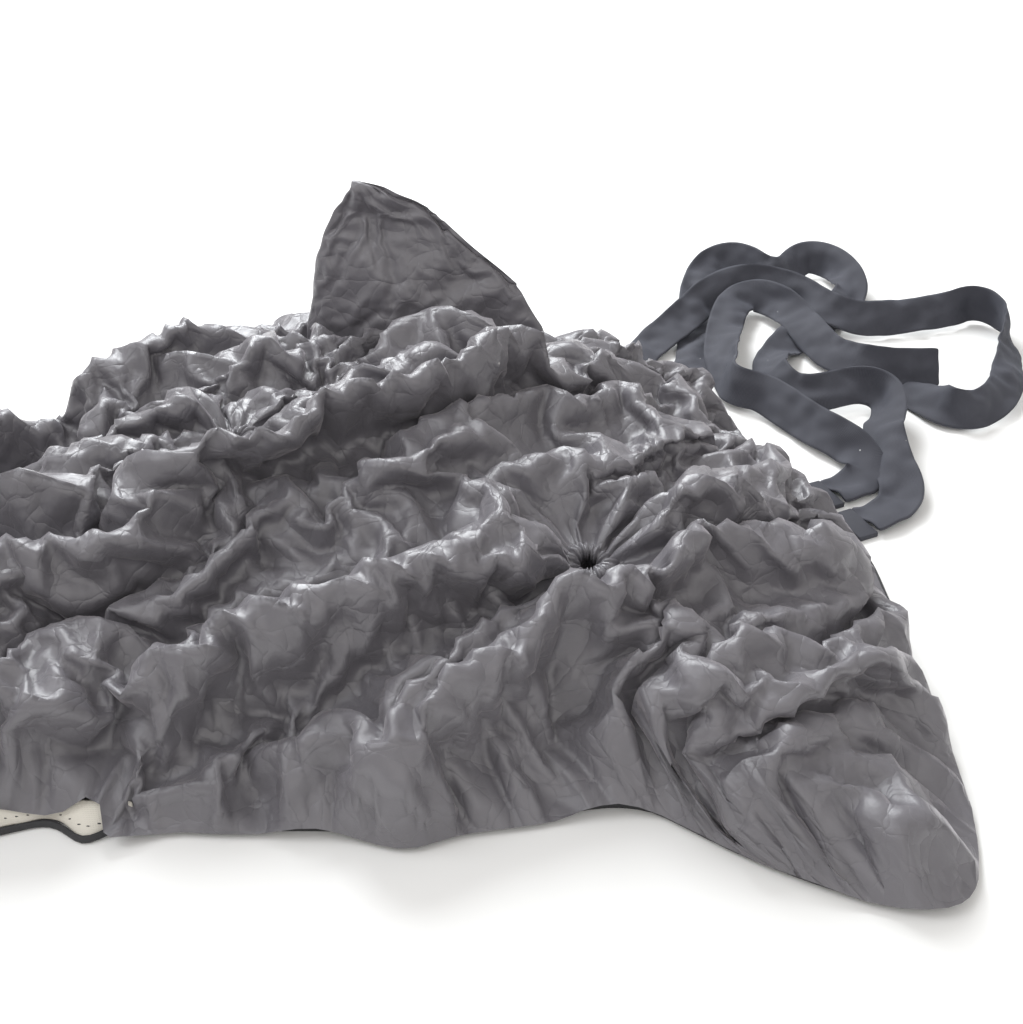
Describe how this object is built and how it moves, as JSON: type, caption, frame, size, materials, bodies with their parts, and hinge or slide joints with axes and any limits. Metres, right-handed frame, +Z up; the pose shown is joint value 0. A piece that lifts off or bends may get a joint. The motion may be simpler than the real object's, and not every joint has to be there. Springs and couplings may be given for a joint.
{
  "type": "film changing bag",
  "caption": "Double-walled dark cloth changing bag in a heap, with elastic sleeves, zips in both walls and sewn flat tapes.",
  "frame": {"origin": "on the ground under the middle of the bag's outline", "axes": "+Z up, +X away from the zipped mouth, +Y towards the side where the tapes lie"},
  "size_m": [0.6785, 0.5534, 0.1281],
  "materials": {
    "outer_cloth": "satin",
    "lining_cloth": "matte",
    "binding_cloth": "matte",
    "webbing": "matte",
    "elastic": "matte",
    "zip_tape": "matte",
    "zip_teeth": "satin",
    "zip_metal": "satin"
  },
  "bodies": {
    "bag": {"bottom_panel": "outer_cloth", "edge_binding": "binding_cloth", "far_tie": "webbing", "far_tie_tab": "webbing", "inner_zip_lower_tape": "zip_tape", "inner_zip_lower_teeth": "zip_teeth", "inner_zip_stops": "zip_metal", "inner_zip_upper_tape": "zip_tape", "inner_zip_upper_teeth": "zip_teeth", "left_sleeve": "outer_cloth", "left_sleeve_arm_casing": "outer_cloth", "left_sleeve_arm_elastic": "elastic", "left_sleeve_cuff_casing": "outer_cloth", "left_sleeve_cuff_elastic": "elastic", "left_sleeve_lining": "lining_cloth", "lining_bottom": "lining_cloth", "lining_top": "lining_cloth", "mouth_lining": "lining_cloth", "mouth_panel": "outer_cloth", "near_tie": "webbing", "near_tie_tab": "webbing", "neck_strap": "webbing", "outer_zip_lower_tape": "zip_tape", "outer_zip_lower_teeth": "zip_teeth", "outer_zip_stops": "zip_metal", "outer_zip_upper_tape": "zip_tape", "outer_zip_upper_teeth": "zip_teeth", "right_sleeve": "outer_cloth", "right_sleeve_arm_casing": "outer_cloth", "right_sleeve_arm_elastic": "elastic", "right_sleeve_cuff_casing": "outer_cloth", "right_sleeve_cuff_elastic": "elastic", "right_sleeve_lining": "lining_cloth", "strap_back_tab": "webbing", "strap_front_tab": "webbing", "top_panel": "outer_cloth"},
    "inner_zip_pull": {"inner_zip_pull": "zip_metal"},
    "inner_zip_slider": {"inner_zip_slider": "zip_metal"},
    "outer_zip_pull": {"outer_zip_pull": "zip_metal"},
    "outer_zip_slider": {"outer_zip_slider": "zip_metal"}
  },
  "joints": [
    {"name": "outer_zip_slide", "type": "slide", "parent": "bag", "child": "outer_zip_slider", "axis": [0, 1, 0], "range_m": [0, 0.201]},
    {"name": "outer_zip_pull_swing", "type": "hinge", "parent": "outer_zip_slider", "child": "outer_zip_pull", "pos_m": [-0.2675, -0.1505, 0.026], "axis": [0, 0, 1], "range_deg": [0, 180]},
    {"name": "inner_zip_slide", "type": "slide", "parent": "bag", "child": "inner_zip_slider", "axis": [0, 1, 0], "range_m": [0, 0.201]},
    {"name": "inner_zip_pull_swing", "type": "hinge", "parent": "inner_zip_slider", "child": "inner_zip_pull", "pos_m": [-0.2315, -0.1505, 0.026], "axis": [0, 0, 1], "range_deg": [0, 180]}
  ]
}
